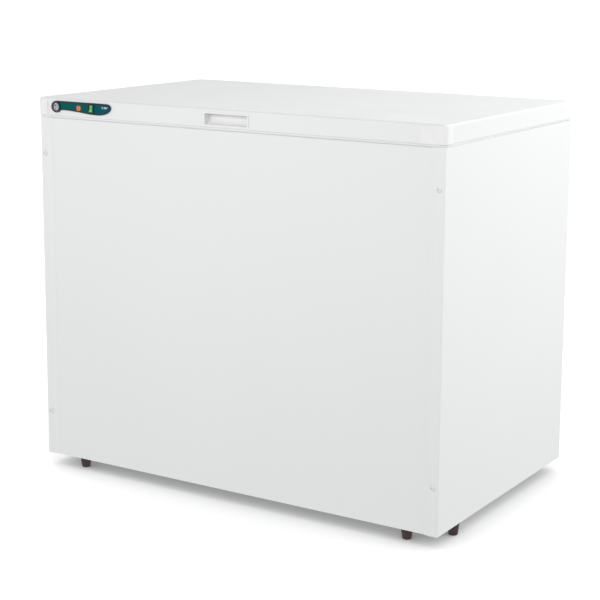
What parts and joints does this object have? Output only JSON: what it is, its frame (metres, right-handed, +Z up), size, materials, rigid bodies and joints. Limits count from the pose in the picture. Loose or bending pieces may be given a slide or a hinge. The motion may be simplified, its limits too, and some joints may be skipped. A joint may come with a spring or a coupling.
{
  "type": "chest freezer",
  "caption": "Chest freezer: foam-insulated steel cabinet on rubber feet, sprung hinged lid with handle pocket, dial thermometer, lamp and rocker switch, and a sliding basket.",
  "frame": {"origin": "on the floor, at the centre of the whole freezer's footprint box", "axes": "+X towards the freezer's right as seen from the front, -Y the front with the controls, +Z up"},
  "size_m": [1.05, 0.6754, 0.88],
  "materials": {
    "white_steel": "satin white powder coat",
    "white_plastic": "white moulded plastic",
    "tank_sheet": "embossed sheet",
    "zinc_steel": "zinc plated",
    "black_steel": "black enamel",
    "copper": "drawn copper",
    "foam": "rigid polyurethane foam",
    "black_plastic": "fine grained black",
    "teal_film": "printed film, green to blue teal",
    "dial_metal": "satin, faintly lilac",
    "clear_lens": "clear",
    "orange_lens": "translucent orange",
    "green_lens": "translucent green",
    "brown_rubber": "dark brown, matt",
    "grey_seal": "soft grey"
  },
  "bodies": {
    "cabinet": {"side_panel_left": "white_steel", "side_panel_right": "white_steel", "front_panel": "white_steel", "rear_panel": "white_steel", "base_pan": "zinc_steel", "top_frame": "white_plastic", "inner_tank": "tank_sheet", "cabinet_foam": "foam", "foot_front_left": "brown_rubber", "foot_front_right": "brown_rubber", "foot_side_left": "brown_rubber", "foot_side_right": "brown_rubber", "foot_rear_left": "brown_rubber", "foot_rear_right": "brown_rubber", "screw_lower_left": "white_steel", "screw_lower_right": "white_steel", "screw_upper_left": "white_steel", "screw_upper_right": "white_steel", "evaporator_tube": "copper", "condenser_tube": "black_steel", "suction_line": "copper", "discharge_line": "copper", "filter_drier": "copper", "compressor": "black_steel", "compressor_base": "black_steel", "relay_cover": "black_plastic", "drain_tube": "white_plastic", "compressor_grille": "white_steel", "thermostat_body": "zinc_steel", "cable_gland": "black_plastic", "hinge_base_left": "zinc_steel", "hinge_base_right": "zinc_steel", "hinge_pin_left": "zinc_steel", "hinge_pin_right": "zinc_steel", "hinge_spring_left": "zinc_steel", "hinge_spring_right": "zinc_steel", "hinge_cover_left": "white_plastic", "hinge_cover_right": "white_plastic"},
    "lid": {"lid_shell": "white_steel", "lid_foam": "foam", "lid_liner": "white_plastic", "lid_gasket": "grey_seal", "handle_cup": "white_plastic", "lid_corner_cap_left": "white_plastic", "lid_corner_cap_right": "white_plastic", "control_bezel": "black_plastic", "control_overlay": "teal_film", "thermometer_case": "black_plastic", "thermometer_dial": "dial_metal", "thermometer_lens": "clear_lens", "indicator_lamp": "orange_lens", "rocker_frame": "black_plastic", "hinge_arm_left": "zinc_steel", "hinge_arm_right": "zinc_steel"},
    "rocker": {"rocker_button": "green_lens"},
    "needle": {"thermometer_needle": "black_plastic"},
    "knob": {"thermostat_knob": "black_plastic"},
    "basket": {"basket": "white_steel"},
    "plug": {"drain_plug": "grey_seal"}
  },
  "joints": [
    {"name": "lid_hinge", "type": "hinge", "parent": "cabinet", "child": "lid", "pos_m": [0, 0.31975, 0.842], "axis": [-1, 0, 0], "range_deg": [0, 80], "stiffness_Nm_per_rad": 12.7, "springref_deg": 99.98, "deforming": ["hinge_spring_left", "hinge_spring_right"]},
    {"name": "rocker_pivot", "type": "hinge", "parent": "lid", "child": "rocker", "pos_m": [-0.3655, -0.33185, 0.8604], "axis": [1, 0, 0], "range_deg": [0, 20]},
    {"name": "needle_spindle", "type": "hinge", "parent": "lid", "child": "needle", "pos_m": [-0.4672, -0.33125, 0.8604], "axis": [0, 1, 0], "range_deg": [-67.5, 202.5]},
    {"name": "thermostat_spindle", "type": "hinge", "parent": "cabinet", "child": "knob", "pos_m": [0.467, 0.30575, 0.185], "axis": [0, 1, 0], "range_deg": [0, 270]},
    {"name": "basket_slide", "type": "slide", "parent": "cabinet", "child": "basket", "axis": [1, 0, 0], "range_m": [-0.689, 0]},
    {"name": "plug_lift", "type": "slide", "parent": "cabinet", "child": "plug", "axis": [0, 0, 1], "range_m": [0, 0.03]}
  ]
}
